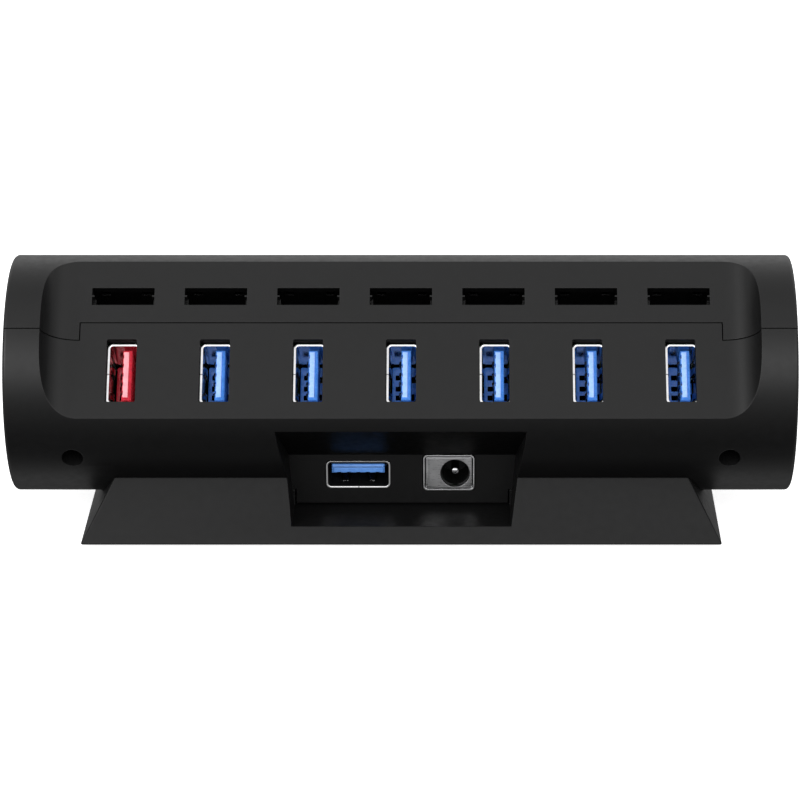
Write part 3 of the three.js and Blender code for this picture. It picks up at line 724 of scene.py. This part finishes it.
def receptacle_contacts(base_front, tongue_front):
    side = TONGUE_X[0]
    sprung = [(base_front - 2, side - 0.3), (base_front + 2.5, side + 0.1), (tongue_front - 3.2, side - 0.35)]
    sprung += [(tongue_front - 2.6, side - 0.4), (tongue_front - 1.9, side + 0.05)]
    fixed = [(tongue_front - 1.4, side + 0.22), (tongue_front - 0.8, side + 0.22)]
    rows = contact_row(USB2_CONTACTS, sprung, 0.32) + contact_row(USB3_CONTACTS, fixed, 0.3)
    return make("contacts", *rows)


def build_receptacle(width, shift, sheet, near, far, base_front, tongue_front, tip=0.1):
    """The four pieces of a receptacle by kind, and how the faces of two of them choose their finish, painted
    light and painted shade among them.
    """
    pieces = {
        "shell": receptacle_shell(width, shift, sheet, near, far),
        "leaves": spring_leaves(width, shift, far),
        "core": receptacle_core(width - 2 * CORE_PLAY, shift, near + 0.3, base_front, tongue_front),
        "contacts": receptacle_contacts(base_front, tongue_front),
    }

    def core_face(middle, normal):
        """1 for the front of the tongue, as deep as tip, painted light in a lighter copy of the nylon, 2 for
        the walls of the pockets in the base, painted shade.
        """
        if normal.y < -0.3 and -middle.y > tongue_front - tip:
            return 1
        return 2 if -middle.y < base_front - 0.12 else 0

    def shell_face(middle, normal):
        """1 for the inside of the tube, which gets painted shade in the upstream receptacle."""
        inwards = normal.x * (middle.x - shift) + normal.z * middle.z < 0
        return 1 if inwards and abs(normal.y) < 0.3 else 0

    return pieces, {"core": core_face, "shell": shell_face}


def place_receptacles(places, pieces, picks, shell_looks):
    """Puts copies of a receptacle at each (name, CAD suffixes, core looks, slot, matrix)."""
    for name, nodes, core_looks, slot, matrix in places:
        for kind, obj in pieces.items():
            looks = {"shell": shell_looks, "leaves": STEEL, "core": core_looks, "contacts": CONTACT}[kind]
            piece_slot = slot if kind == "core" else "connector_steel"
            finish_piece(copy_of(obj, name), f"{name}_{kind}", looks, nodes.get(kind, ()),
                         slot=piece_slot, matrix=matrix, pick=picks.get(kind))
    for obj in pieces.values():
        bpy.data.meshes.remove(obj.data)


port_places = []
for i in PORTS:
    looks, slot = (RED_LOOKS, "core_red") if i == 0 else (BLUE_LOOKS, "core_blue")
    nodes = {"shell": [f"usb_shell_{i + 1}"], "core": [f"usb_core_{i + 1}"]}
    place = TO_BARREL @ Matrix.Translation((port_x(i), 0, PORT_U))
    port_places.append((f"port_{i + 1}", nodes, looks, slot, place))
port = build_receptacle(PORT_SHELL_W, PORT_SHIFT, PORT_SHEET, PORT_BACK, PORT_FRONT, PORT_BASE, TONGUE_FRONT)
place_receptacles(port_places, *port, (STEEL, STEEL))  # as bright inside as outside

upstream_nodes = {"shell": ["upstream_shell"], "core": ["upstream_core"]}
lying = Matrix.Translation((UPSTREAM[0], 0, UPSTREAM[1])) @ Matrix.Rotation(-math.pi / 2, 4, "Y")
upstream_place = ("upstream", upstream_nodes, UPSTREAM_LOOKS, "core_blue", TO_LEVEL @ lying)
upstream = build_receptacle(UPSTREAM_SHELL_W, 0, UPSTREAM_SHEET, UPSTREAM_BACK, UPSTREAM_FRONT,
                            UPSTREAM_BASE, UPSTREAM_TONGUE, tip=0.5)
# The inside of the upstream tube gets painted shade.
place_receptacles([upstream_place], *upstream, (STEEL, STEEL_PAINTED_SHADE))


# ---- DC inlet ----
def jack():
    """The inlet: a steel ring round a grooved plate, a bored body, and a pin with a round nose."""
    x, z = JACK
    hx, hz = JACK_HOLE
    plate_w, plate_h, plate_front = 9.6, 6.75, 10.75
    mouth_r, bore_r, round_steps = 3.0, 2.85, 64
    ring = tube("ring", 10.6, 7.8, 0.3, 0.85, 8.4, 10.95)
    finish_piece(ring, "dc_jack_frame_visual", STEEL, ["dc_jack_frame"], slot="connector_steel",
                 matrix=TO_LEVEL @ Matrix.Translation((x, 0, z)))
    plate = make("plate", prism(rounded(plate_w, plate_h, 0.3, x, z), 9.6, plate_front))
    bevel(plate, 0.14, 3)
    cut(plate, prism(circle(mouth_r, hx, hz, round_steps), 9, 12))
    chamfer = [(circle(2.9, hx, hz, round_steps), 10.45), (circle(3.12, hx, hz, round_steps), 10.8)]
    cut(plate, loft(chamfer, forward))
    groove_x = x - plate_w / 2 + 0.62
    cut(plate, block((groove_x, -12, z - 2.85), (groove_x + 0.09, -10.66, z + 2.85)))
    finish_piece(plate, "dc_jack_plate", JACK_STEEL, slot="connector_steel")
    body = make("body", prism(rounded(9.5, 6.1, 0.2, x, z), -1.2, 9.55))
    cut(body, prism(circle(bore_r, hx, hz, round_steps), 1.5, 12))
    finish_piece(body, "dc_jack_body_visual", INNER_BLACK, ["dc_jack_body"], slot="jack_plastic")
    r, front = 0.85, 9.5
    nose = [(front - 0.55 * (1 - math.cos(math.radians(a))), r * math.sin(math.radians(a)))
            for a in range(15, 91, 15)]
    profile = [(front, 0)] + nose + [(1.6, r), (1.6, 0)]
    pin = make("pin", turned([(-d, radius) for d, radius in profile], 32))
    pin.data.transform(Matrix.Translation((hx, 0, hz)) @ Matrix.Rotation(math.pi / 2, 4, "Z"))
    finish_piece(pin, "dc_jack_pin_visual", PIN_STEEL, ["dc_jack_pin"], slot="connector_steel")


jack()


# ---- Card sockets ----
def card_socket():
    """Pressed cover over a black frame, with a card channel."""
    shell = make("socket", prism(rounded(14.0, SOCKET_H, 0.15, 0, SOCKET_H / 2, steps=2), 0.4, 14.9))
    cut(shell, prism(rounded(13.4, SOCKET_H - 0.6, 0.1, 0, SOCKET_H / 2, steps=2), 0.7, 16))
    windows = [block((x - 0.9, -13.6, SOCKET_H - 0.5), (x + 0.9, -11.2, SOCKET_H + 1)) for x in (-4.2, 4.2)]
    return cut(shell, *windows)


def socket_inside():
    floor = block((-6.65, -14.7, 0.35), (6.65, -0.8, 0.75))
    rails = [block((sx * 6.25 - 0.35, -14.6, 0.8), (sx * 6.25 + 0.35, -6.5, 2.2)) for sx in (-1, 1)]
    rear = block((-6.65, -2.4, 0.8), (6.65, -0.9, SOCKET_H - 0.4))
    return make("inside", floor, *rails, rear)


def socket_contacts():
    """Eight spring contacts on the socket's floor, each along one (distance forwards, height) path."""
    path = ((7.5, 0.85), (11.5, 1.1), (13.4, 1.35), (14.2, 0.95))
    first, pitch, half = -3.6, 1.1, 0.25
    pieces = []
    for k in range(8):
        x = first + pitch * k
        sections = []
        for d, z in path:
            low, high = z - CONTACT_HALF_THICK, z + CONTACT_HALF_THICK
            outline = [(x - half, low), (x + half, low), (x + half, high), (x - half, high)]
            sections.append((outline, d))
        pieces.append(loft(sections, forward))
    return make("contacts", *pieces)


socket_parts = {
    "cover": (card_socket(), SOCKET_STEEL, "socket_steel"),
    "frame": (socket_inside(), INNER_BLACK, "slider_black"),
    "contacts": (socket_contacts(), CONTACT_DULL, "socket_steel"),
}
for i in PORTS:
    place = TO_BARREL @ Matrix.Translation((port_x(i), 0, SOCKET_BOTTOM))
    for kind, (obj, look, slot) in socket_parts.items():
        replaced = [f"card_socket_{i + 1}"] if kind == "cover" else []
        finish_piece(copy_of(obj, kind), f"socket_{i + 1}_{kind}", look, replaced, slot=slot, matrix=place)
for obj, _, _ in socket_parts.values():
    bpy.data.meshes.remove(obj.data)


# ---- CAD nodes that keep their shape, with their finishes ----
KEPT = {
    "main_board": BOARD, "card_board": BOARD, "inlet_board": BOARD,
    "card_header": CHIP, "hub_chip": CHIP, "reader_chip": CHIP,
    "power_inductor": CHIP, "power_capacitor": SOCKET_STEEL, "link_ribbon": RIBBON,
}
KEPT.update({f"rubber_foot_{k}": RUBBER for k in range(1, 5)})
KEPT.update({f"{kind}_screw_{k}": SCREW_STEEL for kind in ("shell", "foot") for k in range(1, 5)})
KEPT.update({f"board_screw_{k}": SCREW_STEEL for k in (1, 2)})
KEPT.update({f"card_slider_{k}": INNER_BLACK for k in range(1, 8)})
for node, look in KEPT.items():
    obj = frame["nodes"][node]
    obj.data.materials.clear()
    obj.data.materials.append(look)


# ---- Stage: floor, light and camera ----
def stage():
    bm = bmesh.new()
    bmesh.ops.create_grid(bm, x_segments=2, y_segments=2, size=6)
    floor = make("floor", bm)
    n = Nodes("pale_floor")
    n.set(Base_Color=n.mix(n.noise(3, 2), (0.9, 0.9, 0.9, 1), (0.92, 0.92, 0.92, 1)), Roughness=0.9)
    n.set(Emission_Color=(1, 1, 1, 1), Emission_Strength=0.8)
    floor.data.materials.append(n.material)
    floor.visible_glossy = False
    floor.visible_diffuse = False


def area_light(name, location, target, size, size_y, power):
    data = bpy.data.lights.new(name, "AREA")
    data.shape, data.size, data.size_y, data.energy = "RECTANGLE", size, size_y, power
    light = bpy.data.objects.new(name, data)
    light.location = location
    light.rotation_euler = (Vector(target) - Vector(location)).to_track_quat("-Z", "Y").to_euler()
    bpy.context.scene.collection.objects.link(light)


# Light level by angle round the barrel. Another program made these numbers, by a least squares fit of
# renders to a reference picture. They were then rounded, scaled and changed.
FITTED_LEVELS = [
    (-180, 0.44), (-135, 0.075), (-100, 0.52), (-75, 0.13), (-50, 0.055),
    (-25, 0.27), (0, 0.58), (25, 2.9), (40, 2.05), (60, 0.88),
    (80, 1.24), (100, 0.75), (130, 0.73), (160, 0.9), (180, 0.44),
]
SIDE_FADE = (0.8, 0.97)  # how far a direction points along X when the side level starts, and when it is full
SIDE_LEVEL = 0.6
SOFTBOX_SIZE = 0.5
SOFTBOX_AIM = (0, 0, 0.03)


def world(levels):
    """Surrounding light by angle round the barrel, in degrees from the front horizon over the top.

    Past its two ends the level is even.
    """
    made = bpy.data.worlds.new("studio")
    made.use_nodes = True
    tree = made.node_tree
    link = tree.links.new

    def node(kind, **settings):
        new = tree.nodes.new(kind)
        for key, value in settings.items():
            setattr(new, key, value)
        return new

    split = node("ShaderNodeSeparateXYZ")
    link(node("ShaderNodeTexCoord").outputs["Generated"], split.inputs[0])
    front = node("ShaderNodeMath", operation="MULTIPLY")
    link(split.outputs["Y"], front.inputs[0])
    front.inputs[1].default_value = -1
    angle = node("ShaderNodeMath", operation="ARCTAN2")
    link(split.outputs["Z"], angle.inputs[0])
    link(front.outputs[0], angle.inputs[1])
    along = node("ShaderNodeMapRange")
    along.inputs["From Min"].default_value = -math.pi
    along.inputs["From Max"].default_value = math.pi
    link(angle.outputs[0], along.inputs["Value"])
    ramp = node("ShaderNodeValToRGB")
    link(along.outputs["Result"], ramp.inputs["Fac"])
    stops = ramp.color_ramp.elements
    while len(stops) < len(levels):
        stops.new(0.5)
    for stop, (degrees, level) in zip(stops, levels):
        stop.position, stop.color = (degrees + 180) / 360, (level, level, level, 1)
    sideways_part = node("ShaderNodeMath", operation="ABSOLUTE")
    link(split.outputs["X"], sideways_part.inputs[0])
    aside = node("ShaderNodeMapRange")
    aside.inputs["From Min"].default_value, aside.inputs["From Max"].default_value = SIDE_FADE
    link(sideways_part.outputs[0], aside.inputs["Value"])
    blend = node("ShaderNodeMix", data_type="RGBA")
    link(aside.outputs["Result"], blend.inputs[0])
    link(ramp.outputs["Color"], blend.inputs[6])
    blend.inputs[7].default_value = (SIDE_LEVEL, SIDE_LEVEL, SIDE_LEVEL, 1)
    link(blend.outputs[2], tree.nodes["Background"].inputs["Color"])
    bpy.context.scene.world = made


def camera():
    data = bpy.data.cameras.new("camera")
    data.lens, data.sensor_width = 157.36, 36.0
    data.shift_x = -0.0773
    data.dof.use_dof = False
    cam = bpy.data.objects.new("camera", data)
    elevation = math.radians(19.67)
    distance, across, rise = 730.0, 12.4, -5.8  # from the barrel's axis: back, right, and up the picture
    back = Vector((0, -math.cos(elevation), math.sin(elevation)))
    up = Vector((0, math.sin(elevation), math.cos(elevation)))
    axis = Vector((across, 0, AXIS_HEIGHT))
    cam.location = (axis + back * distance + up * rise) * MM
    cam.rotation_euler = (math.pi / 2 - elevation, 0, 0)
    bpy.context.scene.collection.objects.link(cam)
    bpy.context.scene.camera = cam


stage()
world(FITTED_LEVELS)
area_light("left_softbox", (-0.85, -0.55, 0.55), SOFTBOX_AIM, SOFTBOX_SIZE, SOFTBOX_SIZE, power=4)
area_light("right_softbox", (0.85, -0.55, 0.55), SOFTBOX_AIM, SOFTBOX_SIZE, SOFTBOX_SIZE, power=1)
camera()
bpy.context.scene.view_settings.view_transform = "Standard"
